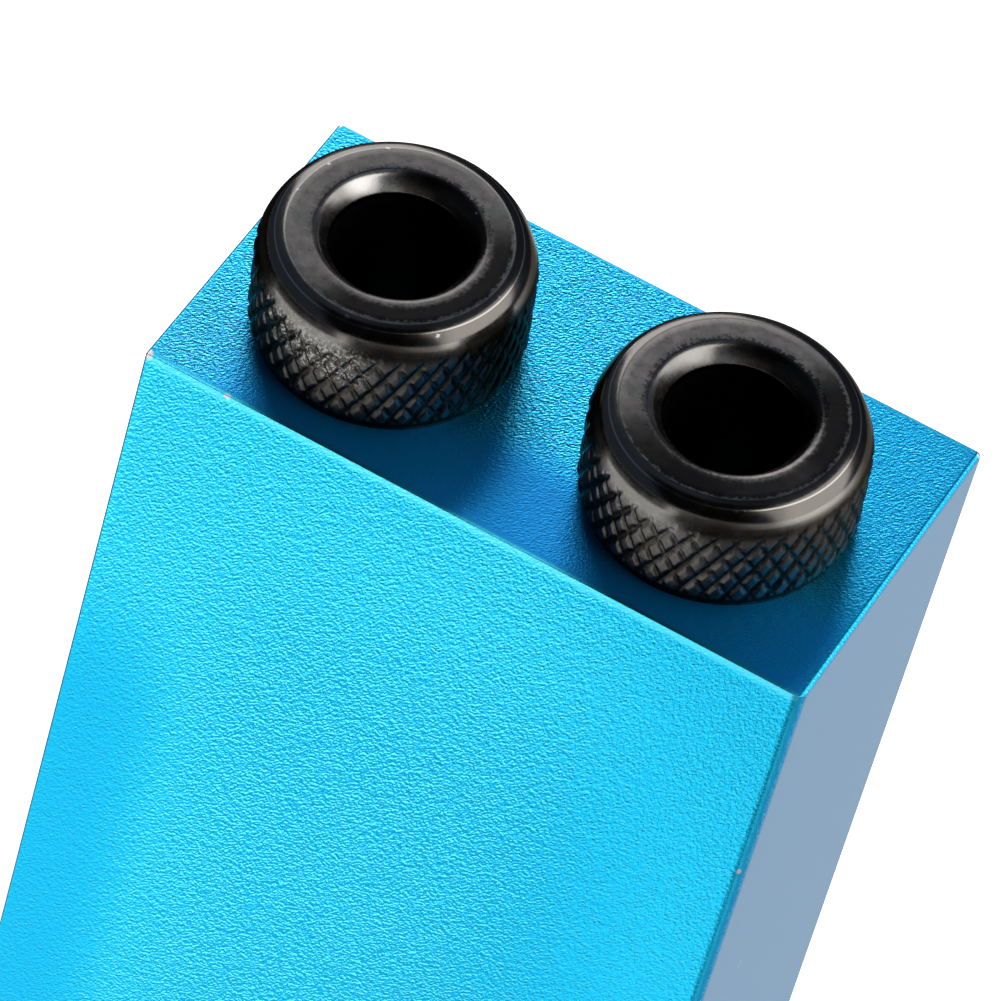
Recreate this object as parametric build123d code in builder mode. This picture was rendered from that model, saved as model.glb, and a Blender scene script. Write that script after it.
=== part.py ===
from build123d import *
import math
import os

# Angle drilling guide: a block with a sloped top and two slip-in drill sleeves, in millimetres.
# The block stands on its small end. Its back face (+Y) is the working face that is held against
# the workpiece. The sleeves stand square to the sloped top, so a drill runs down and back at the
# drill angle and leaves through the working face. The origin is the middle of the bottom face.

# Block
block_width = 54.0
block_depth = 26.0
block_height = 81.0
edge_break = 0.3
drill_angle = 15.0

# Where the two sleeves stand on the slope
sleeve_spacing = 27.4
pair_shift = -0.45
pair_forward = 1.17

# Sleeve bore and shank
bore_radius = 5.0
mouth_round = 1.2
shank_radius = 7.0
shank_length = 24.0
shank_chamfer = 0.6

# Knurled head, with a plain collar under the knurl and a bevel and a rounded shoulder above it
head_radius = 10.2
head_height = 9.9
collar_height = 0.3
collar_inset = 0.05
shoulder_width = 2.0
shoulder_height = 3.7
bevel_width = 1.15
bevel_drop = 0.6
blank_allowance = 0.1

# Diamond knurl: V grooves wind both ways round the head and leave diamonds between them
knurl_count = 40
knurl_angle = 30.0
knurl_depth = 0.45

# Fits
seat_clearance = 0.05
seat_end_room = 0.5
drill_room = 0.25

# The slope and the sleeve axes
slope_drop = block_depth * math.tan(math.radians(drill_angle))
slope_plane = Plane(
    origin=(0, 0, block_height - slope_drop / 2),
    x_dir=(1, 0, 0),
    z_dir=(0, -math.sin(math.radians(drill_angle)), math.cos(math.radians(drill_angle))),
)
left_point = slope_plane.from_local_coords(Vector(pair_shift - sleeve_spacing / 2, -pair_forward, 0))
right_point = slope_plane.from_local_coords(Vector(pair_shift + sleeve_spacing / 2, -pair_forward, 0))

# The seats and drill passages take their sizes from the sleeves
seat_radius = shank_radius + seat_clearance
seat_depth = shank_length + seat_end_room
passage_radius = bore_radius + drill_room
passage_length = 2 * block_height

# The head's flat top, the bottom of the grooves and the collar below them
flat_radius = head_radius - shoulder_width
valley_radius = head_radius - knurl_depth
collar_radius = valley_radius - collar_inset


def under_head(point):
    """The plane under a sleeve's head, with its Z axis up the sleeve."""
    return Plane(origin=point, x_dir=slope_plane.x_dir, z_dir=slope_plane.z_dir)


# Guide block
with BuildPart() as guide_block:
    with BuildSketch(Plane.YZ):
        with BuildLine():
            Polyline(
                (-block_depth / 2, 0),
                (block_depth / 2, 0),
                (block_depth / 2, block_height),
                (-block_depth / 2, block_height - slope_drop),
                close=True,
            )
        make_face()
    extrude(amount=block_width / 2, both=True)
    chamfer(guide_block.edges(), edge_break)
    for point in (left_point, right_point):
        # Passage for the drill, down and out through the working face
        with BuildSketch(under_head(point)):
            Circle(passage_radius)
        extrude(amount=-passage_length, mode=Mode.SUBTRACT)
        # Seat for the shank
        with BuildSketch(under_head(point)):
            Circle(seat_radius)
        extrude(amount=-seat_depth, mode=Mode.SUBTRACT)


def knurled_bar():
    """A bar whose outside is a lattice of four-sided pyramids, longer than the head."""
    half_step = math.pi / knurl_count
    row_height = head_radius * half_step / math.tan(math.radians(knurl_angle))
    last_row = math.ceil((head_height - collar_height) / row_height) + 1

    def lattice_point(radius, column, row):
        turn = column * half_step
        return Vector(
            radius * math.cos(turn),
            radius * math.sin(turn),
            collar_height + (row - 1) * row_height,
        )

    facets = []
    for row in range(last_row + 1):
        for column in range(row % 2, 2 * knurl_count, 2):
            peak = lattice_point(head_radius, column, row)
            valleys = [
                lattice_point(valley_radius, column - 1, row),
                lattice_point(valley_radius, column, row - 1),
                lattice_point(valley_radius, column + 1, row),
                lattice_point(valley_radius, column, row + 1),
            ]
            for here in range(4):
                after = (here + 1) % 4
                facets.append(Face(Wire.make_polygon([valleys[here], valleys[after], peak])))
    # Both ends are closed to the axis, along the zigzag of the first and last rows
    for row, side in ((0, -1), (last_row, 1)):
        middle = lattice_point(0, 0, row + side)
        for column in range(row % 2, 2 * knurl_count, 2):
            tip = lattice_point(valley_radius, column, row + side)
            for beside in (-1, 1):
                notch = lattice_point(valley_radius, column + beside, row)
                ring = [middle, notch, tip] if beside * side > 0 else [middle, tip, notch]
                facets.append(Face(Wire.make_polygon(ring)))
    return Solid(Shell(facets))


# Drill sleeve, turned from one bar, standing on the underside of its head
with BuildPart() as sleeve:
    # The head's blank is a little wider than the knurl's crests, which then cut it to size
    with BuildSketch(Plane.XZ):
        with BuildLine():
            flat_edge = (flat_radius, head_height)
            bevel_foot = (flat_radius + bevel_width, head_height - bevel_drop)
            shoulder_foot = (head_radius + blank_allowance, head_height - shoulder_height)
            TangentArc(shoulder_foot, bevel_foot, tangent=(0, 1))
            Polyline(
                bevel_foot,
                flat_edge,
                (0, head_height),
                (0, collar_height),
                (head_radius + blank_allowance, collar_height),
                shoulder_foot,
            )
        make_face()
    revolve(axis=Axis.Z)
    add(knurled_bar(), mode=Mode.INTERSECT)
    # Plain collar that stands on the slope
    with BuildSketch():
        Circle(collar_radius)
    extrude(amount=collar_height)
    # Shank
    with BuildSketch():
        Circle(shank_radius)
    extrude(amount=-shank_length)
    chamfer(sleeve.faces().sort_by(Axis.Z)[0].edges(), shank_chamfer)
    # Bore with a rounded mouth
    with BuildSketch(Plane.XZ):
        with BuildLine():
            mouth_top = (bore_radius + mouth_round, head_height)
            mouth_corner = (bore_radius, head_height)
            mouth_end = (bore_radius, head_height - mouth_round)
            Bezier(mouth_top, mouth_corner, mouth_end)
            Polyline(
                mouth_end,
                (bore_radius, -shank_length),
                (0, -shank_length),
                (0, head_height),
                mouth_top,
            )
        make_face()
    revolve(axis=Axis.Z, mode=Mode.SUBTRACT)

with BuildPart(under_head(left_point)) as left_sleeve:
    add(sleeve.part)

with BuildPart(under_head(right_point)) as right_sleeve:
    add(sleeve.part)

os.makedirs("parts", exist_ok=True)

guide_block.part.label = "guide_block"
export_step(guide_block.part, "parts/guide_block.step")

left_sleeve.part.label = "left_sleeve"
export_step(left_sleeve.part, "parts/left_sleeve.step")

right_sleeve.part.label = "right_sleeve"
export_step(right_sleeve.part, "parts/right_sleeve.step")
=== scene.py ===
# %% [markdown]
# # Angle drilling guide
# A blue aluminium block with a sloped top holds two slip-in drill sleeves of blackened steel.
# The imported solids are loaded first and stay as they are: they say where everything is.
# Each cell after that makes one piece or one finish, and says why it is made that way.

# %% The fixed frame
import math
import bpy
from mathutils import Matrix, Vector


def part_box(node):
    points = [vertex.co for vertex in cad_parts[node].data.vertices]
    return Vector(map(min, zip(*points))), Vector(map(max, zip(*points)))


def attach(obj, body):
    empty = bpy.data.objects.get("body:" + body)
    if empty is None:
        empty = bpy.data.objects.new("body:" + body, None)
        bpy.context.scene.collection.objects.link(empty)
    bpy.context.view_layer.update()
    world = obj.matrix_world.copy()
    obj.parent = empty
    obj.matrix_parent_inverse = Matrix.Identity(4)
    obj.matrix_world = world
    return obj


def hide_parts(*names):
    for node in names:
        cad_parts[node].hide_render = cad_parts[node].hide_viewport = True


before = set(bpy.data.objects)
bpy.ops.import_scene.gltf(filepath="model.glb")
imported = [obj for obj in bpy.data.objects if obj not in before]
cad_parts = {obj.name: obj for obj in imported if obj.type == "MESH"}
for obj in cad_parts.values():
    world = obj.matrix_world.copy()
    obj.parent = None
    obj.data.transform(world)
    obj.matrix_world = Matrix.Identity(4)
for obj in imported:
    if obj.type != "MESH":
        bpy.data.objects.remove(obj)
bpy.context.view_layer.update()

from types import SimpleNamespace

import bmesh
import bpy
import numpy as np
from mathutils import Matrix, Vector

MM = 0.001
print("solids:", ", ".join(sorted(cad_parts)))

# %% [markdown]
# ## Small helpers for node trees
# Materials and Geometry Nodes are both trees of nodes joined by links. Written out node by node
# they get long, so these helpers make a node with its settings and its inputs in one line. An
# input is either a plain value or the output of another node.

# %% Node helpers
def fill(tree, node, inputs):
    """Gives a node's inputs a plain value each, or a link from another node's output."""
    for name, value in inputs.items():
        if isinstance(value, bpy.types.NodeSocket):
            tree.links.new(value, node.inputs[name])
        else:
            node.inputs[name].default_value = value


def put(tree, kind, inputs=None, **settings):
    """A new node of this kind, with its settings and its inputs filled in."""
    made = tree.nodes.new(kind)
    for name, value in settings.items():
        setattr(made, name, value)
    fill(tree, made, inputs or {})
    return made


def calc(tree, operation, *values, clamp=False):
    """The result of one Math node."""
    inputs = dict(enumerate(values))
    return put(tree, "ShaderNodeMath", inputs, operation=operation, use_clamp=clamp).outputs[0]


def times(tree, first, *others):
    """All these numbers multiplied, with a Math node for each step."""
    for other in others:
        first = calc(tree, "MULTIPLY", first, other)
    return first


def rest(tree, value):
    """What this value leaves of 1."""
    return calc(tree, "SUBTRACT", 1.0, value)


def vector_calc(tree, operation, *values, scale=None):
    """The result of one Vector Math node, which is a number for a length, distance or dot."""
    inputs = dict(enumerate(values))
    if scale is not None:
        inputs["Scale"] = scale
    made = put(tree, "ShaderNodeVectorMath", inputs, operation=operation)
    gives_number = operation in ("LENGTH", "DISTANCE", "DOT_PRODUCT")
    return made.outputs["Value" if gives_number else "Vector"]


print("helpers for nodes: fill, put, calc, times, rest, vector_calc")

# %% [markdown]
# A mask is a number from 0 to 1 that says where on a piece a colour shows. Most finishes here are
# colours laid over each other through masks, as a painter lays thin coats. A mask could be painted
# by hand, but one that is worked out from the place on the piece is exact and needs no image.

# %% Masks and colours
def fade(tree, value, low, high):
    """0 below low and 1 above high, with a soft step between. Low may be above high."""
    inputs = {"Value": value, "From Min": low, "From Max": high}
    return put(tree, "ShaderNodeMapRange", inputs, interpolation_type="SMOOTHSTEP").outputs[0]


def band(tree, value, low, high, soft):
    """1 between low and high and 0 outside, with soft edges."""
    inside = fade(tree, value, low - soft, low + soft)
    return times(tree, inside, fade(tree, value, high + soft, high - soft))


def blend(tree, share, first, second):
    """A colour between two colours, where a plain colour is (red, green, blue)."""
    ends = [(*end, 1.0) if isinstance(end, tuple) else end for end in (first, second)]
    inputs = {0: share, 6: ends[0], 7: ends[1]}
    return put(tree, "ShaderNodeMix", inputs, data_type="RGBA").outputs[2]


def noise(tree, vector, scale, detail, roughness=0.5, distortion=0.0):
    """Soft noise from 0 to 1, with this many features to the millimetre."""
    inputs = {"Vector": vector, "Scale": scale, "Detail": detail}
    inputs |= {"Roughness": roughness, "Distortion": distortion}
    return put(tree, "ShaderNodeTexNoise", inputs).outputs[0]


def new_material(name):
    """An empty material with its tree and its main shader."""
    material = bpy.data.materials.new(name)
    material.use_nodes = True
    tree = material.node_tree
    tree.nodes.clear()
    shader = tree.nodes.new("ShaderNodeBsdfPrincipled")
    put(tree, "ShaderNodeOutputMaterial", {0: shader.outputs[0]})
    return material, tree, shader


print("helpers for finishes: fade, band, blend, noise, new_material")

# %% [markdown]
# ## Sizes and places
# The seats are set out as in the solids: two points on the slope, a little to the left of its
# middle and a little towards the front. Sizes are in millimetres, because that is how a maker
# thinks of a hand tool, and become metres when a piece is placed.

# %% Slope and seats
HALF_WIDTH = 27.0
HALF_DEPTH = 13.0
BLOCK_HEIGHT = 81.0
SLOPE = math.radians(15)
SLOPE_MIDDLE = BLOCK_HEIGHT - HALF_DEPTH * math.tan(SLOPE)

SLEEVE_SPACING = 27.4
PAIR_SHIFT = -0.45
PAIR_FORWARD = 1.17


def seat_point(side):
    """The middle of a seat's mouth on the slope. Side is -1 for the left and 1 for the right."""
    return Vector((
        PAIR_SHIFT + side * SLEEVE_SPACING / 2,
        -PAIR_FORWARD * math.cos(SLOPE),
        SLOPE_MIDDLE - PAIR_FORWARD * math.sin(SLOPE),
    ))


def place_of(point):
    """The matrix that takes a sleeve from its own frame, in millimetres, to its seat."""
    return Matrix.Translation(point * MM) @ Matrix.Rotation(SLOPE, 4, "X") @ Matrix.Scale(MM, 4)


LEFT_POINT = seat_point(-1)
RIGHT_POINT = seat_point(1)
low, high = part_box("guide_block")
print("block from", [round(v, 4) for v in low], "to", [round(v, 4) for v in high])

# %% [markdown]
# ## Camera
# The photograph looks down on the guide from the front, a little from the right, through a long
# lens held with a roll. The camera could be turned by three angles, but its place, the point it
# looks at and the roll are easier to read and to correct.

# %% Camera
def new_object(name, data):
    """An object in the scene with this camera, lamp or mesh."""
    made = bpy.data.objects.new(name, data)
    bpy.context.scene.collection.objects.link(made)
    return made


camera = new_object("camera", bpy.data.cameras.new("camera"))
bpy.context.scene.camera = camera
camera.data.sensor_width = 36.0
camera.data.lens = 255.95
camera.data.clip_start = 0.01
camera.data.clip_end = 20.0

camera_place = Vector((124.586, -391.689, 376.480)) * MM
camera_aim = Vector((-0.798, -5.332, 71.099)) * MM
camera_roll = math.radians(16.704)
ahead = (camera_aim - camera_place).normalized()
level_right = ahead.cross(Vector((0, 0, 1))).normalized()
level_up = level_right.cross(ahead)
up = level_up * math.cos(camera_roll) - level_right * math.sin(camera_roll)
right = ahead.cross(up)
turn = Matrix((right, up, -ahead)).transposed().to_4x4()
camera.matrix_world = Matrix.Translation(camera_place) @ turn
print("camera at", [round(v, 3) for v in camera_place])

# %% [markdown]
# ## Floor and world
# The background of the photograph is plain white. A large white floor gives that and keeps the
# guide's soft shadow. More light would bleach the guide too, so the floor glows a little instead,
# but only for the camera and for rays that come from a gloss or through glass. The world is a
# faint blue, as from a window.

# %% Floor and world
FLOOR_REACH = 4
FLOOR_GLOW = 0.86


def flat_sheet(name, corners):
    """A flat four-sided sheet."""
    mesh = bpy.data.meshes.new(name)
    mesh.from_pydata(corners, [], [(0, 1, 2, 3)])
    return new_object(name, mesh)


floor = flat_sheet("floor", [
    (FLOOR_REACH * x, FLOOR_REACH * y, 0) for x, y in ((-1, -1), (1, -1), (1, 1), (-1, 1))
])
floor_paint, tree, shader = new_material("white_floor")
rays = put(tree, "ShaderNodeLightPath").outputs
seen = calc(tree, "ADD", rays["Is Camera Ray"], rays["Is Glossy Ray"])
seen = calc(tree, "ADD", seen, rays["Is Transmission Ray"], clamp=True)
fill(tree, shader, {
    "Base Color": (0.8, 0.8, 0.8, 1),
    "Roughness": 0.9,
    "Specular IOR Level": 0.1,
    "Emission Color": (1, 1, 1, 1),
    "Emission Strength": times(tree, seen, FLOOR_GLOW),
})
floor.data.materials.append(floor_paint)

world = bpy.data.worlds.new("pale_room")
bpy.context.scene.world = world
world.use_nodes = True
sky = world.node_tree.nodes["Background"]
fill(world.node_tree, sky, {"Color": (0.55, 0.7, 1.0, 1), "Strength": 0.18})
print("white floor", 2 * FLOOR_REACH, "metres wide, and a faint blue world")

# %% [markdown]
# ## Lamps and cards
# Metal has hardly a colour of its own: it shows what stands round it. Two large lamps, one to the
# right and one behind, give the broad soft lights of the photograph. A dark card stands behind the
# camera, as in a photographer's studio, and gives the black steel its depth.

# %% Lamps and dark card
GUIDE_MIDDLE = Vector((0, 0, 0.06))


def towards(azimuth, elevation, distance):
    """A point seen from the guide: azimuth 0 is behind it and 90 is to its right."""
    turned, raised = math.radians(azimuth), math.radians(elevation)
    flat = math.cos(raised)
    direction = Vector((math.sin(turned) * flat, math.cos(turned) * flat, math.sin(raised)))
    return GUIDE_MIDDLE + direction * distance


def facing(place):
    """The matrix that puts an object at a place, with its -Z side towards the guide."""
    look = (GUIDE_MIDDLE - place).to_track_quat("-Z", "Y")
    return Matrix.Translation(place) @ look.to_matrix().to_4x4()


def soft_lamp(name, place, width, height, watts):
    """A flat lamp that lights the guide and isn't seen itself."""
    lamp = bpy.data.lights.new(name, "AREA")
    lamp.shape = "RECTANGLE"
    lamp.size = width
    lamp.size_y = height
    lamp.energy = watts
    holder = new_object(name, lamp)
    holder.matrix_world = facing(place)
    holder.visible_camera = False


def dull_card(name, corners, shade, only_in_metal=False):
    """A card that the metal reflects and the camera doesn't see."""
    card = flat_sheet(name, corners)
    paint, tree, shader = new_material(name)
    dull = {"Base Color": (shade, shade, shade, 1), "Roughness": 1.0, "Specular IOR Level": 0.0}
    fill(tree, shader, dull)
    card.data.materials.append(paint)
    card.visible_camera = False
    card.visible_diffuse = not only_in_metal
    card.visible_shadow = not only_in_metal


soft_lamp("lamp_right", towards(89, 28, 1.3), 1.55, 1.8, 24)
soft_lamp("lamp_behind", towards(-40, 38, 1.5), 0.75, 1.2, 9)

card_place = facing(towards(166, 38, 1.6))
card_corners = [(-1.1, -1.2, 0), (1.1, -1.2, 0), (1.1, 1.2, 0), (-1.1, 1.2, 0)]
dull_card("card_behind_camera", [card_place @ Vector(corner) for corner in card_corners], 0.02)

# %% [markdown]
# The block reflects the floor round it, and in the photograph that isn't white all over. So grey
# cards lie on the floor. They show only in the metal: the camera doesn't see them, and they throw
# no shadow and take no light from the guide.

# %% Cards on the floor
def floor_card(name, corners, shade, lift=0.001):
    """A card on the floor that only shows in the metal."""
    dull_card(name, [(x, y, lift) for x, y in corners], shade, only_in_metal=True)


floor_card("card_beside", [(0.0, -0.03), (0.5, -0.03), (0.5, 0.6), (0.0, 0.6)], 0.78)
floor_card("card_left", [(-0.035, -0.01), (-0.035, 2.5), (-2.5, 2.5), (-2.5, -0.95)], 0.04)
floor_card("card_far_left", [(-0.26, -0.10), (-2.4, -0.93), (-0.5, -2.5), (-0.05, -0.28)], 0.1)
floor_card("card_ahead", [(-0.018, -0.8), (0.035, -0.8), (0.035, -0.1), (-0.018, -0.15)], 0.1)
floor_card("card_in_front", [(0.035, -0.8), (0.5, -0.8), (0.5, -0.03), (0.035, -0.03)], 0.1)
floor_card(
    "card_near", [(0.035, -0.13), (0.16, -0.13), (0.16, -0.03), (0.035, -0.03)], 0.6, lift=0.002
)

# %% [markdown]
# ## Anodised blue: where on the block
# The block is one piece of bright metal under a dyed skin, but its faces don't look alike: light
# falls on each in its own way, and handling has worn some edges. The finish therefore starts from
# where a point lies, and paints some of that light and shade into the colour. Distances to the
# block's planes are worked out from the Object coordinates, which stay with the block when it
# moves.

# %% Where on the block
def block_places(tree):
    """The masks and distances that the blue finish is made from, in millimetres."""
    coordinates = put(tree, "ShaderNodeTexCoord").outputs["Object"]
    place = vector_calc(tree, "SCALE", coordinates, scale=1 / MM)
    x, y, z = put(tree, "ShaderNodeSeparateXYZ", {0: place}).outputs[:3]
    x_size, y_size = calc(tree, "ABSOLUTE", x), calc(tree, "ABSOLUTE", y)

    # 1 on the front and the back, and 0 between them
    upright = fade(tree, y_size, HALF_DEPTH - 0.4, HALF_DEPTH - 0.1)
    to_side = calc(tree, "SUBTRACT", HALF_WIDTH, x_size)
    to_face = calc(tree, "SUBTRACT", HALF_DEPTH, y_size)
    slope_here = calc(tree, "MULTIPLY_ADD", y, math.tan(SLOPE), SLOPE_MIDDLE)
    to_slope = times(tree, calc(tree, "SUBTRACT", slope_here, z), math.cos(SLOPE))
    on_side = fade(tree, to_side, 0.1, 0.02)

    # On a face one distance is 0, and this comes near the smaller of the other two
    products = 0.0
    for first, second in ((to_side, to_face), (to_face, to_slope), (to_slope, to_side)):
        products = calc(tree, "MULTIPLY_ADD", first, second, products)
    sums = calc(tree, "ADD", calc(tree, "ADD", to_side, to_face), to_slope)
    off_edge = calc(tree, "DIVIDE", products, sums)

    # The low middle of the front and its calm low left, which get painted shade, and the slope in
    # front of the heads, painted as lying in their shade
    low_middle = times(tree, fade(tree, z, 68, 48), fade(tree, x_size, 24, 6))
    low_left = times(tree, fade(tree, x, -12, -24), fade(tree, z, 58, 42))
    on_slope = times(tree, rest(tree, upright), fade(tree, to_slope, 0.5, 0.2))
    before_heads = times(tree, fade(tree, y, -3, -8), fade(tree, to_side, 0.3, 0.7))
    near_slope = times(tree, on_slope, before_heads)
    return SimpleNamespace(
        place=place, x=x, y=y, upright=upright, to_slope=to_slope, on_side=on_side,
        off_edge=off_edge, low_middle=low_middle, low_left=low_left, near_slope=near_slope,
        in_shade=times(tree, near_slope, fade(tree, x, -24, -17)),
    )


print("planes of the block at", HALF_WIDTH, HALF_DEPTH, "and", round(SLOPE_MIDDLE, 2), "mm")

# %% [markdown]
# ## Anodised blue: the grain
# Before it is anodised the block is blasted with fine beads, which leaves a grain like fine
# leather. Modelled, it would take millions of faces, so it is noise. Real grain has a run, and the
# noise is drawn out along it. The same noise is read twice, a step apart across the run: where the
# two differ, the grain rises or falls, as a relief does under a low light.

# %% Grain of the blasting
# The way the grain runs and the way across it, on the slope and on the front
SLOPE_GRAIN = ((0.8, 0.58, 0.155), (-0.51, 0.83, 0.22))
FRONT_GRAIN = ((0.77, 0.0, 0.64), (-0.34, 0.0, 0.94))
GRAIN_SCALE = 7.2
GRAIN_STEP = 0.06
GRAIN_DRAWN = 0.45


def blasted_grain(tree, at):
    """The grain's height, and its relief: above 0 on one side of a crest and below on the other."""
    run, rise = [
        blend(tree, at.upright, on_slope, on_front)
        for on_slope, on_front in zip(SLOPE_GRAIN, FRONT_GRAIN)
    ]
    heights = []
    for step in (GRAIN_STEP, -GRAIN_STEP):
        nudged = vector_calc(tree, "MULTIPLY_ADD", rise, (step, step, step), at.place)
        along = vector_calc(tree, "DOT_PRODUCT", nudged, run)
        shorter = vector_calc(tree, "SCALE", run, scale=times(tree, along, -GRAIN_DRAWN))
        drawn = vector_calc(tree, "ADD", nudged, shorter)
        heights.append(noise(tree, drawn, GRAIN_SCALE, 1.2, 0.5, 0.3))
    return heights[0], calc(tree, "SUBTRACT", *heights)


print("grain:", GRAIN_SCALE, "features to the millimetre")

# %% [markdown]
# ## Anodised blue: the dye and painted light
# Lamps this soft hardly pick out a grain, while the photograph shows it clearly. So the relief is
# also painted into the colour as light and shade: a deep blue painted shade on one flank of each
# crest and a pale painted highlight on the other. It is calm towards the right, low on the left and
# on the sides, where the photograph's grain all but fades.

# %% Dyed colour
# Blues of the painted relief: a pale painted highlight, the dye's own blue, and a deep blue painted
# shade
RELIEF_HIGHLIGHT_BLUE = (0.13, 0.93, 1.0)
SLOPE_BLUE, SLOPE_RELIEF_SHADE = (0.0015, 0.40, 0.79), (0.0, 0.14, 0.34)
FRONT_BLUE, FRONT_RELIEF_SHADE = (0.003, 0.54, 0.85), (0.0, 0.30, 0.54)
SIDE_SHEEN_GREY = (0.16, 0.16, 0.1)
SHADE_BLUE = (0.0, 0.29, 0.76)
RELIEF_GAIN = 2.3
LOW_MIDDLE_GAIN = 2.6
SHADE_LOSS = 1.9


def relief_share(tree, at, relief):
    """Where the colour lies between the relief's painted shade, 0, and its painted highlight, 1."""
    # A painted highlight makes a crest pale on its lower flank on the front, which mirrors the
    # floor, and on its far flank on the slope, which faces the lamp behind
    on_front = calc(tree, "MULTIPLY_ADD", at.low_middle, LOW_MIDDLE_GAIN, RELIEF_GAIN)
    on_slope = calc(tree, "MULTIPLY_ADD", at.in_shade, SHADE_LOSS, -RELIEF_GAIN)
    on_slope = times(tree, rest(tree, at.upright), on_slope)
    gain = calc(tree, "ADD", times(tree, at.upright, on_front), on_slope)
    to_right = times(tree, fade(tree, at.x, 4, 20), 0.68)
    calm = calc(tree, "MAXIMUM", to_right, times(tree, at.low_left, 0.6))
    calm = times(tree, calm, calc(tree, "MULTIPLY_ADD", at.upright, 0.2, 0.8))
    calm = calc(tree, "MAXIMUM", calm, at.on_side)
    relief = times(tree, relief, times(tree, gain, rest(tree, calm)))

    # Painted shade darkens the low middle and the low left of the front
    low_middle, low_left = times(tree, at.low_middle, 0.26), times(tree, at.low_left, 0.2)
    darker = times(tree, calc(tree, "MAXIMUM", low_middle, low_left), at.upright)
    return calc(tree, "ADD", calc(tree, "SUBTRACT", 0.5, darker), relief, clamp=True)


def dye_and_painted_light(tree, at, share):
    """The dye's blue, with the grain's painted shade and highlight, the sides' painted sheen and
    the painted shade in front of the heads.
    """
    middle = blend(tree, at.upright, SLOPE_BLUE, FRONT_BLUE)
    relief_shade = blend(tree, at.upright, SLOPE_RELIEF_SHADE, FRONT_RELIEF_SHADE)
    lower_half = calc(tree, "MULTIPLY", share, 2.0, clamp=True)
    upper_half = calc(tree, "MULTIPLY_ADD", share, 2.0, -1.0, clamp=True)
    colour = blend(tree, lower_half, relief_shade, middle)
    colour = blend(tree, upper_half, colour, RELIEF_HIGHLIGHT_BLUE)
    # The smooth sides get a painted sheen: grey for the white floor mirrored at a flat angle
    colour = blend(tree, times(tree, at.on_side, 0.25), colour, SIDE_SHEEN_GREY)
    # The slope in front of the heads turns a deeper blue as painted shade
    return blend(tree, times(tree, at.in_shade, 0.85), colour, SHADE_BLUE)


print("front blue", FRONT_BLUE, "with crests of", RELIEF_HIGHLIGHT_BLUE)

# %% [markdown]
# ## Anodised blue: wear and a painted edge highlight
# The dyed skin is only about a hundredth of a millimetre thick. A painted highlight makes it paler
# along the top front edge, and knocks have bared the metal at some corners and edges. Each knock is
# a small ball in space, and noise makes its rim ragged.

# %% Painted edge highlight and knocks
# The pale blue of the painted highlight along the top front edge
EDGE_HIGHLIGHT_BLUE = (0.15, 0.84, 1.0)
BARE_METAL = (0.62, 0.63, 0.62)
# Each knock as x, y, z and size
KNOCKS = [
    (-26.8, -13, 74.0, 0.45), (27, 13, 80.9, 0.5), (-27, 13, 80.9, 0.5), (-20.1, -13, 74.0, 0.25),
    (26.7, -13, 57.4, 0.3), (27, -5.7, 43.9, 0.15), (27, -5.8, 43.5, 0.13),
]


def painted_edge_highlight(tree, at, colour):
    """The colour with a painted highlight as a pale strip along the top front edge."""
    high = times(tree, fade(tree, at.to_slope, -0.05, 0.02), fade(tree, at.to_slope, 0.75, 0.35))
    strip = times(tree, high, fade(tree, at.y, -12.75, -12.9))
    return blend(tree, times(tree, strip, 0.45), colour, EDGE_HIGHLIGHT_BLUE)


def knocked(tree, at, colour):
    """The colour with bare metal at the knocks."""
    uneven = noise(tree, at.place, 3.0, 2.0)
    chips = 0.0
    for *spot, size in KNOCKS:
        away = vector_calc(tree, "DISTANCE", at.place, spot)
        reach = calc(tree, "MULTIPLY_ADD", uneven, size, away)
        chips = calc(tree, "MAXIMUM", chips, fade(tree, reach, size * 1.6, size * 1.25))
    return blend(tree, chips, colour, BARE_METAL)


print("knocks:", len(KNOCKS))

# %% [markdown]
# ## Anodised blue: the whole finish
# Anodising is a dyed clear layer on bright metal, so the shader is a coloured metal under a clear
# coat. Only the smooth sides wear the full coat, because a blasted face scatters its gloss. The
# grain is also a bump, which flattens towards the edges, as the rounded edges are rubbed smooth.

# %% Anodised blue
GRAIN_DEPTH = 0.07


def anodised_blue():
    """Blasted and anodised aluminium."""
    material, tree, shader = new_material("anodised_blue")
    at = block_places(tree)
    grain, relief = blasted_grain(tree, at)
    colour = dye_and_painted_light(tree, at, relief_share(tree, at, relief))
    colour = knocked(tree, at, painted_edge_highlight(tree, at, colour))

    on_slope = calc(tree, "SUBTRACT", 0.5, times(tree, at.upright, 0.5))
    flatter = times(tree, fade(tree, at.x, 13, 21), on_slope)
    flatter = calc(tree, "MAXIMUM", flatter, times(tree, at.in_shade, 0.6))
    strength = times(tree, fade(tree, at.off_edge, 0.15, 0.9), rest(tree, at.on_side))
    strength = times(tree, strength, rest(tree, flatter))
    bump = {"Height": grain, "Strength": strength, "Distance": GRAIN_DEPTH * MM}
    fill(tree, shader, {
        "Base Color": colour,
        "Metallic": calc(tree, "MULTIPLY_ADD", at.near_slope, -0.2, 1.0),
        "Roughness": 0.33,
        "Coat Weight": calc(tree, "MULTIPLY_ADD", at.on_side, 0.9, 0.1),
        "Coat Roughness": 0.3,
        "Coat IOR": 1.5,
        "Normal": put(tree, "ShaderNodeBump", bump).outputs[0],
    })
    return material


blue = anodised_blue()
print("material:", blue.name, "with", len(blue.node_tree.nodes), "nodes")

# %% [markdown]
# ## Guide block: the blank
# The real block is sawn and milled from bar, and its edges are only just broken. The mesh starts
# from eight corners, and a Bevel modifier rounds its edges. Edges of the real block aren't all
# alike, so each gets a weight, which is its share of the widest round.

# %% Block blank
EDGE_ROUND = 0.9
TOP_RIGHT_ROUND = 0.45
PLAIN_ROUND = 0.3
TOP_FRONT_ROUND = 0.03


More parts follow.
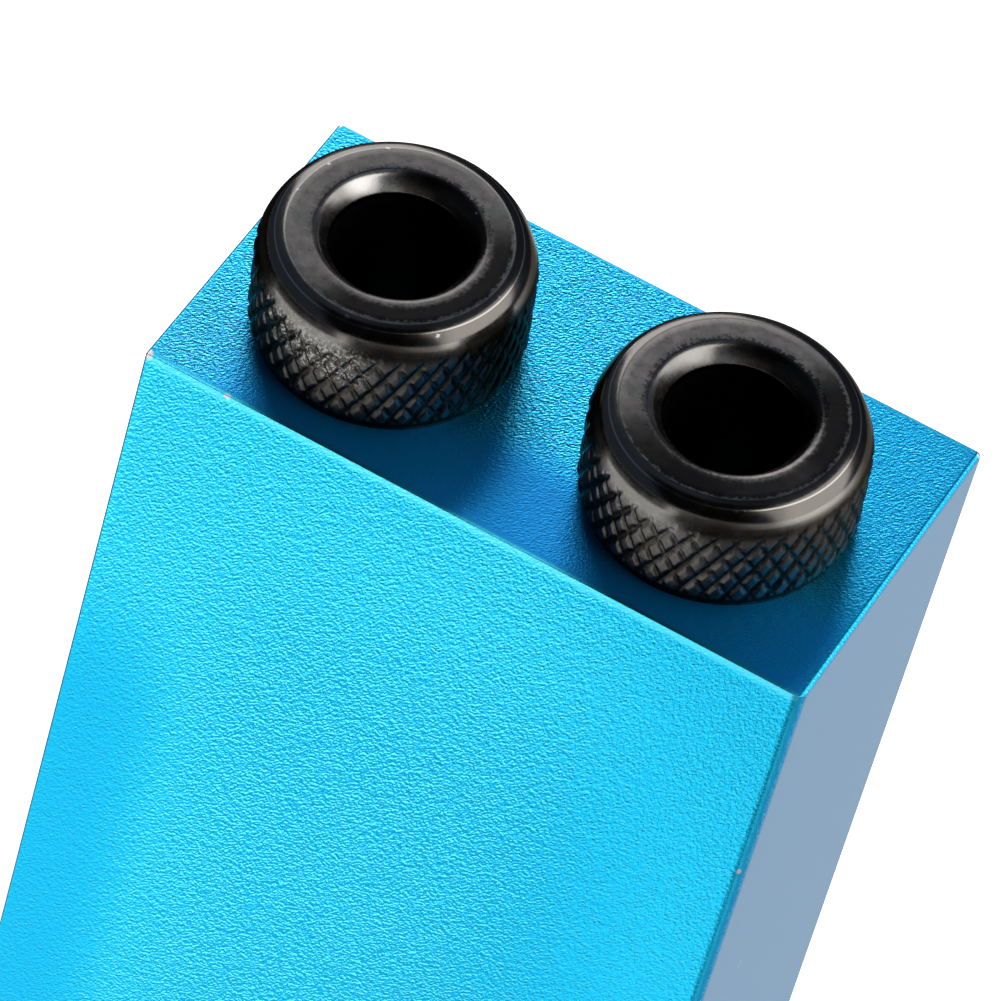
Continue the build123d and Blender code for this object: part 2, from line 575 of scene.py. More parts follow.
def edge_width(middle, x, y, top):
    """How wide a round the edge with this middle gets."""
    in_front, right_side, high = middle.y < -0.9 * y, middle.x > 0.9 * x, middle.z > 0.7 * top
    if in_front and right_side:
        return EDGE_ROUND
    if right_side and high:
        return TOP_RIGHT_ROUND
    return TOP_FRONT_ROUND if in_front and high else PLAIN_ROUND


def block_blank():
    """The block with its edges rounded and no holes."""
    x, y, top = HALF_WIDTH * MM, HALF_DEPTH * MM, BLOCK_HEIGHT * MM
    front_top = top - 2 * y * math.tan(SLOPE)
    corners = [
        (-x, -y, 0), (x, -y, 0), (x, y, 0), (-x, y, 0),
        (-x, -y, front_top), (x, -y, front_top), (x, y, top), (-x, y, top),
    ]
    faces = [(3, 2, 1, 0), (4, 5, 6, 7), (0, 1, 5, 4), (1, 2, 6, 5), (2, 3, 7, 6), (3, 0, 4, 7)]
    mesh = bpy.data.meshes.new("guide_block_finished")
    mesh.from_pydata(corners, [], faces)
    weights = mesh.attributes.new("bevel_weight_edge", "FLOAT", "EDGE")
    for edge in mesh.edges:
        ends = [mesh.vertices[number].co for number in edge.vertices]
        width = edge_width((ends[0] + ends[1]) / 2, x, y, top)
        weights.data[edge.index].value = width / EDGE_ROUND
    block = new_object("guide_block_finished", mesh)
    rounded = block.modifiers.new("rounded", "BEVEL")
    rounded.limit_method = "WEIGHT"
    rounded.width = EDGE_ROUND * MM
    rounded.segments = 5
    rounded.use_clamp_overlap = False
    return block


block = block_blank()
print("blank:", len(block.data.edges), "edges to round")

# %% [markdown]
# ## Guide block: seats and passages
# A seat and the drill passage below it are bored from the slope, one after the other. One spun
# shape cuts both at once, with a Boolean modifier. It reaches well past the block at both ends,
# because a cut that stops exactly at a face leaves slivers.

# %% Seats and passages
SEAT_RADIUS = 7.05
SEAT_DEPTH = 24.5
PASSAGE_RADIUS = 5.25
CUT_ABOVE, CUT_BELOW = 5, -90
CUT_STEPS = 96


def drill_cutter(point):
    """A seat with its passage below it, as one shape to cut away."""
    shape = bmesh.new()
    profile = [
        (0, CUT_ABOVE), (SEAT_RADIUS, CUT_ABOVE), (SEAT_RADIUS, -SEAT_DEPTH),
        (PASSAGE_RADIUS, -SEAT_DEPTH), (PASSAGE_RADIUS, CUT_BELOW), (0, CUT_BELOW),
    ]
    line = [shape.verts.new((radius, 0, height)) for radius, height in profile]
    for first, second in zip(line, line[1:]):
        shape.edges.new((first, second))
    bmesh.ops.spin(
        shape, geom=shape.verts[:] + shape.edges[:], cent=(0, 0, 0), axis=(0, 0, 1),
        angle=2 * math.pi, steps=CUT_STEPS, use_merge=True,
    )
    bmesh.ops.remove_doubles(shape, verts=shape.verts, dist=1e-4)
    bmesh.ops.recalc_face_normals(shape, faces=shape.faces)
    bmesh.ops.transform(shape, matrix=place_of(point), verts=shape.verts)
    mesh = bpy.data.meshes.new("drill_cutter")
    shape.to_mesh(mesh)
    shape.free()
    return new_object("drill_cutter", mesh)


def finished_mesh(thing):
    """Works all the thing's modifiers into a plain mesh."""
    bpy.context.view_layer.update()
    evaluated = thing.evaluated_get(bpy.context.evaluated_depsgraph_get())
    mesh = bpy.data.meshes.new_from_object(evaluated)
    thing.modifiers.clear()
    thing.data = mesh


cutters = [drill_cutter(LEFT_POINT), drill_cutter(RIGHT_POINT)]
for cutter in cutters:
    cut = block.modifiers.new("cut", "BOOLEAN")
    cut.object = cutter
    cut.operation = "DIFFERENCE"
    cut.solver = "EXACT"
finished_mesh(block)
for cutter in cutters:
    bpy.data.objects.remove(cutter)
print("bored block:", len(block.data.polygons), "faces")

# %% [markdown]
# ## Guide block: finished
# Smooth shading would let the rounds' light run out over the large faces. Weighted normals keep
# those flat right up to the rounds. The finished block then takes the plain solid's place.

# %% Finished block
block.data.materials.clear()
block.data.materials.append(blue)
block.data.shade_smooth()
block.data.set_sharp_from_angle(angle=math.radians(30))
block.modifiers.new("even", "WEIGHTED_NORMAL").keep_sharp = True
finished_mesh(block)
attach(block, "block")
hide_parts("guide_block")
print("block:", len(block.data.polygons), "faces")

# %% [markdown]
# ## Blackened steel: where on a sleeve
# The sleeves are turned from steel and blackened in a hot bath. Every mark of turning and wear
# goes round the axis, so the finish is worked out in the sleeve's own frame: radius, angle and
# height above the slope. A Mapping node takes the Object coordinates there. It could be done with
# a UV map, but then a join would run down each sleeve.

# %% Where on a sleeve
def sleeve_places(tree, point):
    """The place on a sleeve in its own frame, in millimetres, with its noises."""
    frame_of_sleeve = {
        "Vector": put(tree, "ShaderNodeTexCoord").outputs["Object"],
        "Location": point * MM,
        "Rotation": (SLOPE, 0, 0),
        "Scale": (MM, MM, MM),
    }
    own = put(tree, "ShaderNodeMapping", frame_of_sleeve, vector_type="TEXTURE").outputs[0]
    x, y, height = put(tree, "ShaderNodeSeparateXYZ", {0: own}).outputs[:3]
    across = put(tree, "ShaderNodeCombineXYZ", {0: x, 1: y}).outputs[0]
    radius = vector_calc(tree, "LENGTH", across)
    angle = calc(tree, "ARCTAN2", y, x)

    # Noise drawn out from the axis, so that it makes spikes round the mouth
    spoke_x, spoke_y = [times(tree, calc(tree, way, angle), 8.0) for way in ("COSINE", "SINE")]
    spokes = {0: spoke_x, 1: spoke_y, 2: times(tree, radius, 0.6)}
    spoke_place = put(tree, "ShaderNodeCombineXYZ", spokes).outputs[0]
    return SimpleNamespace(
        own=own, height=height, radius=radius, angle=angle,
        blotch=noise(tree, own, 1.3, 4.0, 0.6),
        ragged=noise(tree, own, 3.2, 3.0, 0.65),
        fine=noise(tree, own, 9.0, 3.0, 0.7),
        spiky=noise(tree, spoke_place, 2.4, 3.0, 0.7),
    )


def sector(tree, at, start, end, soft):
    """1 between two angles round the sleeve. 0 degrees is its right and 90 is its back."""
    middle, half = math.radians((start + end) / 2), (end - start) / 2
    near = calc(tree, "COSINE", calc(tree, "SUBTRACT", at.angle, middle))
    outer = math.cos(math.radians(half + soft))
    inner = math.cos(math.radians(max(half - soft, 0)))
    return fade(tree, near, outer, inner)


def toned(colour, strength):
    """A colour made darker or lighter."""
    return tuple(part * strength for part in colour)


print("left sleeve's own frame stands at", [round(part, 2) for part in LEFT_POINT], "mm")

# %% [markdown]
# ## Blackened steel: the head
# The bath leaves an uneven brown black. The shoulder was turned last and is polished by fingers, so
# it is paler, but painted dark in two sectors as painted shade, where the photograph shows it dark.
# Low on its front, towards the left, a paler patch is a painted glint of the floor. Thin paler
# rings mark where the turning tool set in and left.

# %% Head
BATH_BLACKS = ((0.028, 0.024, 0.020), (0.052, 0.046, 0.039))
SHOULDER_GREY = (0.18, 0.167, 0.148)
BEVEL_GREY = (0.11, 0.101, 0.09)
PAINTED_SHADE_BLACK = (0.026, 0.024, 0.021)
RIM_GREY = (0.13, 0.122, 0.116)
TOOL_LINE = (0.4, 0.37, 0.33)
RUNOUT_GLINT_GREY = (0.24, 0.23, 0.215)


def head_colour(tree, at, shoulder):
    """The blackened head, with its paler shoulder, its painted shade and glint, and the rings of
    turning.
    """
    colour = blend(tree, fade(tree, at.blotch, 0.35, 0.65), *BATH_BLACKS)
    colour = blend(tree, shoulder, colour, SHOULDER_GREY)
    colour = blend(tree, fade(tree, at.height, 8.8, 9.0), colour, BEVEL_GREY)
    # Two sectors of the shoulder are painted dark: painted shade that holds back the lamps' glint
    # there
    dull = calc(tree, "MAXIMUM", sector(tree, at, -70, -42, 9), sector(tree, at, 6, 95, 10))
    dull = times(tree, dull, fade(tree, at.height, 5.5, 6.5), 0.6)
    colour = blend(tree, dull, colour, PAINTED_SHADE_BLACK)

    near_flat = fade(tree, at.height, 9.2, 9.4)
    rim = times(tree, band(tree, at.radius, 8.35, 8.95, 0.06), near_flat)
    colour = blend(tree, times(tree, rim, sector(tree, at, 115, 225, 12)), colour, RIM_GREY)
    tool_line = times(tree, band(tree, at.radius, 8.84, 8.93, 0.03), near_flat, 0.7)
    colour = blend(tree, tool_line, colour, TOOL_LINE)

    # A paler patch low on the shoulder's front is a painted glint of the floor
    ragged_height = calc(tree, "ADD", at.height, at.ragged)
    runout_glint = band(tree, ragged_height, 7.6, 9.2, 0.3)
    runout_glint = times(tree, runout_glint, sector(tree, at, -128, -84, 8), 0.8)
    return blend(tree, runout_glint, colour, RUNOUT_GLINT_GREY)


print("shoulder", SHOULDER_GREY, "over a bath black of", BATH_BLACKS[1])

# %% [markdown]
# ## Blackened steel: the knurl
# Fingers rub the knurl's crests to grey and leave its grooves black. The mesh of the knurl carries
# an attribute, groove, that is 1 at the bottom of a groove, so the paint follows the cuts exactly.
# On the front of the left sleeve the crests have worn through to bright flecks, which are partly a
# painted glint of the floor there.

# %% Worn knurl
CREST_GREY = (0.068, 0.065, 0.061)
GROOVE_BLACK = (0.009, 0.008, 0.007)
FLECK_GREY = (0.34, 0.327, 0.306)


def knurl_colour(tree, at, colour, fleck_and_glint_strength, wear_and_light_tone):
    """The colour with grey crests, black grooves and bright flecks, which are partly a painted
    glint.
    """
    groove = put(tree, "ShaderNodeAttribute", attribute_name="groove").outputs["Fac"]
    on_head = band(tree, at.height, 0.35, 8.0, 0.2)
    full_width = times(tree, on_head, fade(tree, at.radius, 10.0, 10.15))
    crest = times(tree, fade(tree, groove, 0.5, 0.0), full_width, 0.8)
    # The crests' grey is scaled per sleeve, on the right sleeve partly as painted light
    colour = blend(tree, crest, colour, toned(CREST_GREY, wear_and_light_tone))
    deep = times(tree, fade(tree, groove, 0.5, 0.95), on_head, 0.75)
    colour = blend(tree, deep, colour, GROOVE_BLACK)

    # The flecks are worn crests and also a painted glint of the floor
    flecks = fade(tree, noise(tree, at.own, 3.8, 3.0, 0.75), 0.51, 0.58)
    flecks = times(tree, flecks, sector(tree, at, -124, -76, 12))
    flecks = times(tree, flecks, band(tree, at.height, 4.6, 8.4, 0.9), fleck_and_glint_strength)
    return blend(tree, flecks, colour, FLECK_GREY)


print("knurl crests", CREST_GREY, "and grooves", GROOVE_BLACK)

# %% [markdown]
# ## Blackened steel: the flat
# The flat top is rubbed grey, up to a ragged and spiky edge round the mouth. Some of the black is
# left in patches, which differ from one sleeve to the other. So they are given as lists, and each
# patch is two angles, two radii and a strength.

# %% Worn flat
FLAT_GREYS = ((0.075, 0.071, 0.069), (0.112, 0.104, 0.1))
PIT_BLACK = (0.025, 0.026, 0.025)
GREEN_TINGE = (0.05, 0.075, 0.062)
PATCH_BLACK = (0.009, 0.009, 0.0095)
LEFT_PATCHES = [(-105, 40, 6.6, 8.0, 0.95)]
RIGHT_PATCHES = [
    (-137, -66, 6.2, 8.1, 0.88), (-110, -20, 6.45, 8.0, 0.9), (-20, 60, 6.3, 8.0, 0.95)
]


def worn_flat(tree, at, edge):
    """The mask of the flat's worn part."""
    near_side = sector(tree, at, -135, 20, 14)
    spike_length = calc(tree, "MULTIPLY_ADD", near_side, -1.6, 2.2)
    spikes = times(tree, calc(tree, "SUBTRACT", at.spiky, 0.5), spike_length)
    mouth_edge = calc(tree, "SUBTRACT", 6.5, times(tree, near_side, 0.85))
    past_edge = calc(tree, "SUBTRACT", edge, calc(tree, "ADD", mouth_edge, spikes))
    worn = times(tree, fade(tree, past_edge, -0.06, 0.06), fade(tree, at.radius, 8.3, 8.15))
    return times(tree, worn, fade(tree, at.height, 8.5, 9.0))


def flat_colour(tree, at, colour, worn, edge, patches, wear_and_light_tone):
    """The colour with the worn grey of the flat and the black that is left on it."""
    # The flat's greys are scaled per sleeve; the right sleeve's paler greys are partly painted
    # light, making up for dimmer light on its flat
    darker, lighter = [toned(grey, wear_and_light_tone) for grey in FLAT_GREYS]
    grey = blend(tree, fade(tree, at.blotch, 0.3, 0.7), darker, lighter)
    grey = blend(tree, fade(tree, at.fine, 0.42, 0.25), grey, PIT_BLACK)
    tinge = times(tree, fade(tree, noise(tree, at.own, 0.45, 1.0), 0.55, 0.7), 0.35)
    colour = blend(tree, worn, colour, blend(tree, tinge, grey, GREEN_TINGE))
    for start, end, inner, outer, strength in patches:
        round_way = sector(tree, at, start, end, 18)
        patch = times(tree, round_way, fade(tree, edge, inner - 0.4, inner + 0.3))
        patch = times(tree, patch, fade(tree, edge, outer + 0.12, outer - 0.12))
        patch = times(tree, patch, fade(tree, at.height, 9.6, 9.8), strength)
        colour = blend(tree, patch, colour, PATCH_BLACK)
    return colour


print("patches of black: left", len(LEFT_PATCHES), "and right", len(RIGHT_PATCHES))

# %% [markdown]
# ## Blackened steel: the mouth
# A thin bright line runs where the shoulder meets the flat. Inside the mouth the lead-in cone is
# paler than the bore, as the drills brush it on their way in, but painted black on its right and
# back as painted shade. A painted glint brightens the cone on its far left, strongly on the left
# sleeve. A few specks of bare steel finish the head, each a small ball with a ragged rim, like the
# knocks of the block.

# %% Mouth and specks
CONE_GREY = (0.17, 0.16, 0.148)
CONE_BLACK = (0.024, 0.022, 0.02)
BORE_BLACK = (0.05, 0.05, 0.05)
# Bare steel, which also colours a painted glint on the cone
BARE_STEEL_AND_GLINT = (0.45, 0.43, 0.40)
# Each speck as its angle round the sleeve, radius, height and size
LEFT_SPECKS = [
    (-85, 8.6, 9.75, 0.16), (-42, 9.1, 9.45, 0.12), (-5, 8.6, 9.75, 0.1), (127, 8.15, 9.9, 0.08),
    (160, 8.1, 9.9, 0.1), (-176, 8.15, 9.9, 0.06), (56, 6.0, 9.8, 0.05), (-20, 9.9, 8.9, 0.06),
]
RIGHT_SPECKS = [(-60, 8.9, 9.6, 0.08)]


def mouth_colour(tree, at, colour, cone, fleck_and_glint_strength, line_shade):
    """The colour with the line round the flat, the lead-in cone with its painted shade and glint,
    and the bore.
    """
    line = times(
        tree, band(tree, at.radius, 8.16, 8.28, 0.05), fade(tree, at.height, 9.5, 9.7), 0.6
    )
    colour = blend(tree, line, colour, (line_shade, line_shade, line_shade * 0.95))
    # The cone's right and back are painted black as painted shade
    cone_colour = blend(tree, sector(tree, at, 5, 112, 18), CONE_GREY, CONE_BLACK)
    # A painted glint brightens the cone on its far left
    glint = times(tree, sector(tree, at, 122, 160, 8), fleck_and_glint_strength * 0.8)
    cone_colour = blend(tree, glint, cone_colour, BARE_STEEL_AND_GLINT)
    colour = blend(tree, cone, colour, cone_colour)
    inside = times(tree, fade(tree, at.radius, 5.06, 5.02), fade(tree, at.height, 9.3, 8.8))
    return blend(tree, inside, colour, BORE_BLACK)


def speckled(tree, at, colour, specks):
    """The colour with specks of bare steel."""
    bare = 0.0
    for turned, out, up_high, size in specks:
        turned = math.radians(turned)
        spot = (out * math.cos(turned), out * math.sin(turned), up_high)
        away = vector_calc(tree, "DISTANCE", at.own, spot)
        reach = calc(tree, "ADD", away, times(tree, at.fine, 0.7))
        bare = calc(tree, "MAXIMUM", bare, fade(tree, reach, size + 0.42, size + 0.26))
    return blend(tree, times(tree, bare, 0.8), colour, BARE_STEEL_AND_GLINT)


print("specks: left", len(LEFT_SPECKS), "and right", len(RIGHT_SPECKS))

# %% [markdown]
# ## Blackened steel: the whole finish
# The finish is a metal whose roughness follows the blotches of the bath, with a polished shoulder.
# Any metal mirrors strongly at flat angles, and here that would paint the knurl with the block's
# blue. Specular Tint holds that back, as the matt black of the bath does.

# %% Blackened steel
STEEL_GRAIN_DEPTH = 0.006


def blackened_steel(name, point, patches, specks, fleck_and_glint_strength, line_shade, wear_and_light_tone):
    """Blackened steel for the sleeve at this point, with its own patches, specks, wear and painted
    light.
    """
    material, tree, shader = new_material(name)
    at = sleeve_places(tree, point)
    shoulder = fade(tree, at.height, 8.0, 8.6)
    uneven = times(tree, calc(tree, "SUBTRACT", at.ragged, 0.5), 0.9)
    edge = calc(tree, "ADD", at.radius, uneven)
    worn = worn_flat(tree, at, edge)
    cone = times(
        tree, band(tree, at.radius, 5.08, 6.2, 0.05), fade(tree, at.height, 8.3, 8.6),
        rest(tree, worn),
    )
    colour = head_colour(tree, at, shoulder)
    colour = knurl_colour(tree, at, colour, fleck_and_glint_strength, wear_and_light_tone)
    colour = flat_colour(tree, at, colour, worn, edge, patches, wear_and_light_tone)
    colour = mouth_colour(tree, at, colour, cone, fleck_and_glint_strength, line_shade)
    colour = speckled(tree, at, colour, specks)

    polish = times(tree, shoulder, rest(tree, worn))
    rough = calc(tree, "ADD", 0.2, times(tree, at.blotch, 0.22))
    rough = calc(tree, "MULTIPLY_ADD", cone, 0.08, rough)
    strength = calc(tree, "MULTIPLY_ADD", polish, -0.85, 1.0)
    bump = {"Height": at.ragged, "Strength": strength, "Distance": STEEL_GRAIN_DEPTH * MM}
    fill(tree, shader, {
        "Base Color": colour,
        "Metallic": 1.0,
        "Specular Tint": (0.5, 0.48, 0.45, 1),
        "Roughness": calc(tree, "SUBTRACT", rough, times(tree, polish, 0.12)),
        "Normal": put(tree, "ShaderNodeBump", bump).outputs[0],
    })
    return material


left_steel = blackened_steel(
    "left_steel", LEFT_POINT, LEFT_PATCHES, LEFT_SPECKS,
    fleck_and_glint_strength=0.9, line_shade=0.22, wear_and_light_tone=1.05,
)
# The right sleeve's greys are made paler, partly as painted light
right_steel = blackened_steel(
    "right_steel", RIGHT_POINT, RIGHT_PATCHES, RIGHT_SPECKS,
    fleck_and_glint_strength=0.15, line_shade=0.03, wear_and_light_tone=1.4,
)
print("materials:", left_steel.name, "and", right_steel.name)

# %% [markdown]
# ## Drill sleeves: the profile
# A sleeve is turned from one bar, its head is rolled with a diamond knurl, and then the shoulder
# is turned round. The mesh follows that order. A lathe's work is a profile spun round an axis, so
# the first step is the profile: a list of rings, each with its radius and its height.

# %% Shape of the head
BORE_RADIUS = 5.0
MOUTH_RADIUS = 6.35
MOUTH_ROUND = 0.8
MOUTH_TILT = math.radians(53)
MOUTH_STEPS = 8
HEAD_RADIUS = 10.2
HEAD_HEIGHT = 9.9
FLAT_RADIUS = 8.2

# A small round from the flat, then a wide one that runs out into the knurled flank
SHOULDER_START = math.radians(9)
SHOULDER_TURN = math.radians(60)
SHOULDER_ROUND = 1.9
SHOULDER_STEPS = 12
BLANK_RADIUS = 10.25
round_middle = (
    FLAT_RADIUS - SHOULDER_ROUND * math.sin(SHOULDER_START),
    HEAD_HEIGHT - SHOULDER_ROUND * math.cos(SHOULDER_START),
)
turn_radius = round_middle[0] + SHOULDER_ROUND * math.sin(SHOULDER_TURN)
turn_height = round_middle[1] + SHOULDER_ROUND * math.cos(SHOULDER_TURN)
FLANK_ROUND = (BLANK_RADIUS - turn_radius) / (1 - math.sin(SHOULDER_TURN))
FLANK_FOOT = turn_height - FLANK_ROUND * math.cos(SHOULDER_TURN)

# The knurl's foot draws in a little above the plain collar
COLLAR_RADIUS = 9.7
COLLAR_HEIGHT = 0.3
FOOT_DRAWN_IN = 0.48
FOOT_HEIGHT = 1.0


def blank_radius(height):
    """The radius of the turned head at a height above the slope."""
    if height > turn_height:
        across = height - round_middle[1]
        return round_middle[0] + math.sqrt(SHOULDER_ROUND ** 2 - across ** 2)
    if height < COLLAR_HEIGHT + FOOT_HEIGHT:
        return HEAD_RADIUS - FOOT_DRAWN_IN * (1 - (height - COLLAR_HEIGHT) / FOOT_HEIGHT)
    if height > FLANK_FOOT:
        flank = math.sqrt(FLANK_ROUND ** 2 - (height - FLANK_FOOT) ** 2)
        return BLANK_RADIUS - FLANK_ROUND + flank
    return BLANK_RADIUS


print("shoulder meets the knurled flank at height", round(FLANK_FOOT, 2))

# %% [markdown]
# The rings of the knurled part stand closer together than the rest, in step with the rows of the
# knurl, so that every groove and every crest gets its own points. The other rings are only as
# many as the rounds need.

# %% Rings of a sleeve
KNURL_COUNT = 40
KNURL_ANGLE = 30.0
ROW_HEIGHT = HEAD_RADIUS * math.pi / KNURL_COUNT / math.tan(math.radians(KNURL_ANGLE))
GRID = 6
KNURL_ROWS = 36
RING_HEIGHT = ROW_HEIGHT / GRID
SHANK_RADIUS = 7.0
SHANK_LENGTH = 24.0
SHANK_CHAMFER = 0.6


def mouth_ring(tilt):
    """The ring of the mouth's round where the surface tilts this much."""
    return (
        MOUTH_RADIUS - MOUTH_ROUND * math.sin(tilt),
        HEAD_HEIGHT - MOUTH_ROUND * (1 - math.cos(tilt)),
    )


def shoulder_ring(tilt):
    """The ring of the shoulder's small round where the surface tilts this much."""
    return (
        round_middle[0] + SHOULDER_ROUND * math.sin(tilt),
        round_middle[1] + SHOULDER_ROUND * math.cos(tilt),
    )


def sleeve_profile():
    """Rings from the foot of the bore round to the foot again, and the knurl's first and last."""
    # A few plain rings up the bore and down the shank keep their long faces short
    cone_radius, cone_height = mouth_ring(MOUTH_TILT)
    cone_foot = cone_height - (cone_radius - BORE_RADIUS) * math.tan(MOUTH_TILT)
    rings = [(BORE_RADIUS, height) for height in (-SHANK_LENGTH, -12.0, 0.0, 6.0, cone_foot - 0.1)]
    rings.append((BORE_RADIUS + 0.06, cone_foot + 0.06 * math.tan(MOUTH_TILT)))
    rings += [mouth_ring(MOUTH_TILT * (1 - step / MOUTH_STEPS)) for step in range(MOUTH_STEPS + 1)]
    rings += [(6.9, HEAD_HEIGHT), (7.6, HEAD_HEIGHT), (FLAT_RADIUS, HEAD_HEIGHT)]

    knurl_top = COLLAR_HEIGHT + KNURL_ROWS * RING_HEIGHT
    last_tilt = math.acos((knurl_top - round_middle[1]) / SHOULDER_ROUND)
    for step in range(1, SHOULDER_STEPS):
        share = step / SHOULDER_STEPS
        rings.append(shoulder_ring(SHOULDER_START + (last_tilt - SHOULDER_START) * share))
    first_row = len(rings)
    for row in range(KNURL_ROWS, -1, -1):
        height = COLLAR_HEIGHT + row * RING_HEIGHT
        rings.append((blank_radius(height), height))
    last_row = len(rings) - 1
    rings += [(COLLAR_RADIUS, COLLAR_HEIGHT), (COLLAR_RADIUS, 0.0)]
    shank_foot = SHANK_CHAMFER - SHANK_LENGTH
    rings += [(SHANK_RADIUS, height) for height in (0.0, -8.0, -16.0, shank_foot)]
    rings.append((SHANK_RADIUS - SHANK_CHAMFER, -SHANK_LENGTH))
    return rings, first_row, last_row


print("a sleeve has", len(sleeve_profile()[0]), "rings")

# %% [markdown]
# ## Drill sleeves: the blank
# The rings become a closed skin of four-sided faces. Blender could spin the profile itself, but a
# knurl needs more: on the knurled part each face gets a point in its middle, so that the sharp
# valleys and crests, which run at a slant, find edges in both directions.

# %% Turned blank
COLUMNS = 2 * KNURL_COUNT * GRID


def turned_blank(name):
    """A sleeve's blank in its own frame, with a fine grid where the knurl goes."""
    rings, first_row, last_row = sleeve_profile()
    turns = np.arange(COLUMNS) * 2 * math.pi / COLUMNS
    radii, heights = np.array(rings).T
    level = np.repeat(heights[:, None], COLUMNS, 1)
    across = [np.outer(radii, np.cos(turns)), np.outer(radii, np.sin(turns))]
    points = list(map(tuple, np.stack([*across, level], -1).reshape(-1, 3)))
    faces = []
    for ring in range(len(rings)):
        after = (ring + 1) % len(rings)
        for column in range(COLUMNS):
            beside = (column + 1) % COLUMNS
            corner = [
                ring * COLUMNS + column, ring * COLUMNS + beside,
                after * COLUMNS + beside, after * COLUMNS + column,
            ]
            if not first_row <= ring < last_row:
                faces.append(corner)
                continue
            radius, height = (radii[ring] + radii[after]) / 2, (heights[ring] + heights[after]) / 2
            turned = (column + 0.5) * 2 * math.pi / COLUMNS
            middle = len(points)
            points.append((radius * math.cos(turned), radius * math.sin(turned), height))
            faces += [(corner[side], corner[(side + 1) % 4], middle) for side in range(4)]
    mesh = bpy.data.meshes.new(name)
    mesh.from_pydata(points, [], faces)
    shape = bmesh.new()
    shape.from_mesh(mesh)
    bmesh.ops.recalc_face_normals(shape, faces=shape.faces)
    shape.to_mesh(mesh)
    shape.free()
    return new_object(name, mesh)


print("each ring has", COLUMNS, "points")

# %% [markdown]
# ## Drill sleeves: the knurl
# A knurl is two sets of V grooves that wind both ways round the head, which is a rule, so a
# Geometry Nodes tree presses it. It counts columns round the head and rows up it. Their sum and
# their difference tell how far a point is from the nearest crest of either set. The grooves run
# out by themselves on the shoulder, where the blank is narrower than the bottom of a groove. The
# second set is shallower than the first, as on the worn knurl of the photograph.

# %% Knurl tree
# The tree's inputs, with the values that both sleeves share
KNURL_SIZES = {
    "Count": float(KNURL_COUNT),
    "Angle": math.radians(KNURL_ANGLE),
    "Head radius": HEAD_RADIUS,
    "Depth": 0.2,
    "Crest share": 0.36,
    "Second share": 0.5,
    "Second depth": 0.7,
    "Foot": COLLAR_HEIGHT,
    "Wear": 0.55,
}


def groove_depths(tree, given, angle, height):
    """How deep a point lies in the deeper of its two grooves, from 0 on a crest to 1."""
    half_step = calc(tree, "DIVIDE", math.pi, given["Count"])
    row_width = times(tree, given["Head radius"], half_step)
    row_height = calc(tree, "DIVIDE", row_width, calc(tree, "TANGENT", given["Angle"]))
    column = calc(tree, "DIVIDE", angle, half_step)
    row = calc(tree, "DIVIDE", calc(tree, "SUBTRACT", height, given["Foot"]), row_height)
    row = calc(tree, "ADD", row, 1.0)
    cuts = []
    for way, crest_share, depth in (
        ("SUBTRACT", given["Crest share"], 1.0),
        ("ADD", given["Second share"], given["Second depth"]),
    ):
        phase = times(tree, calc(tree, way, column, row), 0.5)
        off_crest = calc(tree, "SUBTRACT", phase, calc(tree, "ROUND", phase))
        off_crest = calc(tree, "ABSOLUTE", off_crest)
        cut = fade(tree, off_crest, times(tree, crest_share, 0.5), 0.5)
        cuts.append(times(tree, cut, depth))
    return calc(tree, "MAXIMUM", *cuts)


def worn_depth(tree, given, place, groove):
    """The depth in millimetres, with noise that has worn some of the diamonds."""
    inputs = {"Vector": place, "W": given["Seed"], "Scale": 1.1, "Detail": 3.0}
    uneven = put(tree, "ShaderNodeTexNoise", inputs, noise_dimensions="4D").outputs[0]
    worn = times(tree, calc(tree, "SUBTRACT", uneven, 0.5), given["Wear"])
    pressed = times(tree, calc(tree, "ADD", groove, worn), given["Depth"])
    return calc(tree, "MAXIMUM", calc(tree, "MINIMUM", pressed, given["Depth"]), 0.0)


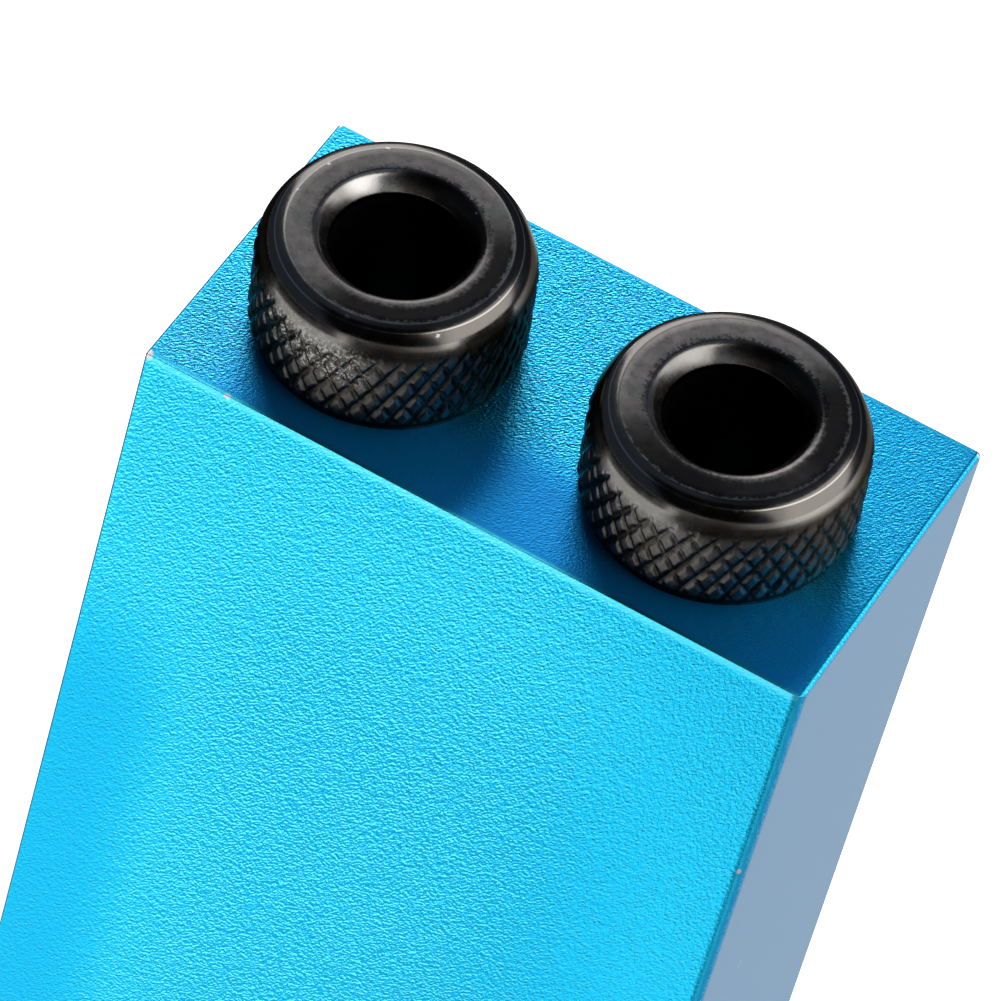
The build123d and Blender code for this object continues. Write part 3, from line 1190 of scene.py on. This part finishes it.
def knurl_tree():
    """A Geometry Nodes tree that presses a diamond knurl into a turned blank."""
    tree = bpy.data.node_groups.new("diamond_knurl", "GeometryNodeTree")
    face = tree.interface
    face.new_socket("Geometry", in_out="INPUT", socket_type="NodeSocketGeometry")
    for name in (*KNURL_SIZES, "Seed"):
        face.new_socket(name, in_out="INPUT", socket_type="NodeSocketFloat")
    face.new_socket("Material", in_out="INPUT", socket_type="NodeSocketMaterial")
    face.new_socket("Geometry", in_out="OUTPUT", socket_type="NodeSocketGeometry")
    given = put(tree, "NodeGroupInput").outputs

    place = put(tree, "GeometryNodeInputPosition").outputs[0]
    x, y, height = put(tree, "ShaderNodeSeparateXYZ", {0: place}).outputs[:3]
    radius = calc(tree, "SQRT", calc(tree, "ADD", times(tree, x, x), times(tree, y, y)))
    groove = groove_depths(tree, given, calc(tree, "ARCTAN2", y, x), height)
    pressed = worn_depth(tree, given, place, groove)
    cut_radius = calc(tree, "SUBTRACT", given["Head radius"], pressed)
    share = calc(tree, "DIVIDE", calc(tree, "MINIMUM", radius, cut_radius), radius)
    moved = {0: times(tree, x, share), 1: times(tree, y, share), 2: height}
    moved = put(tree, "ShaderNodeCombineXYZ", moved).outputs[0]
    shape = {"Geometry": given["Geometry"], "Position": moved}
    shape = put(tree, "GeometryNodeSetPosition", shape).outputs[0]

    on_knurl = calc(tree, "GREATER_THAN", radius, cut_radius)
    kept = {"Geometry": shape, "Name": "groove", "Value": times(tree, groove, on_knurl)}
    shape = put(
        tree, "GeometryNodeStoreNamedAttribute", kept, data_type="FLOAT", domain="POINT"
    ).outputs[0]
    shape = put(tree, "GeometryNodeRealizeInstances", {"Geometry": shape}).outputs[0]
    painted = {"Geometry": shape, "Material": given["Material"]}
    painted = put(tree, "GeometryNodeSetMaterial", painted).outputs[0]
    put(tree, "NodeGroupOutput", {"Geometry": painted})
    return tree


knurl = knurl_tree()
print("knurl tree:", len(knurl.nodes), "nodes")

# %% [markdown]
# ## Drill sleeves: both in their seats
# The two sleeves are the same turned part, each with its own seed for the wear. Each is finished
# in its own frame, which is the simplest place to work, and then put in its seat.

# %% Two sleeves
def give_inputs(modifier, values):
    """Sets a Geometry Nodes modifier's inputs by their sockets' identifiers."""
    for item in modifier.node_group.interface.items_tree:
        if item.in_out == "INPUT" and item.name in values:
            modifier[item.identifier] = values[item.name]


def make_sleeve(name, point, body, node, seed, steel):
    """A finished sleeve in its seat, riding on its body in place of the plain solid."""
    sleeve = turned_blank(name)
    press = sleeve.modifiers.new("knurl", "NODES")
    press.node_group = knurl
    give_inputs(press, KNURL_SIZES | {"Seed": seed, "Material": steel})
    finished_mesh(sleeve)
    sleeve.data.transform(place_of(point))
    sleeve.data.shade_smooth()
    sleeve.data.set_sharp_from_angle(angle=math.radians(40))
    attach(sleeve, body)
    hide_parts(node)
    print(name, "has", len(sleeve.data.polygons), "faces")


make_sleeve("left_sleeve_turned", LEFT_POINT, "left_sleeve", "left_sleeve", 1.0, left_steel)
make_sleeve("right_sleeve_turned", RIGHT_POINT, "right_sleeve", "right_sleeve", 2.0, right_steel)

# %% [markdown]
# ## Colours as they are
# The Standard view transform shows a colour as it is written.

# %% Finish
bpy.context.scene.view_settings.view_transform = "Standard"
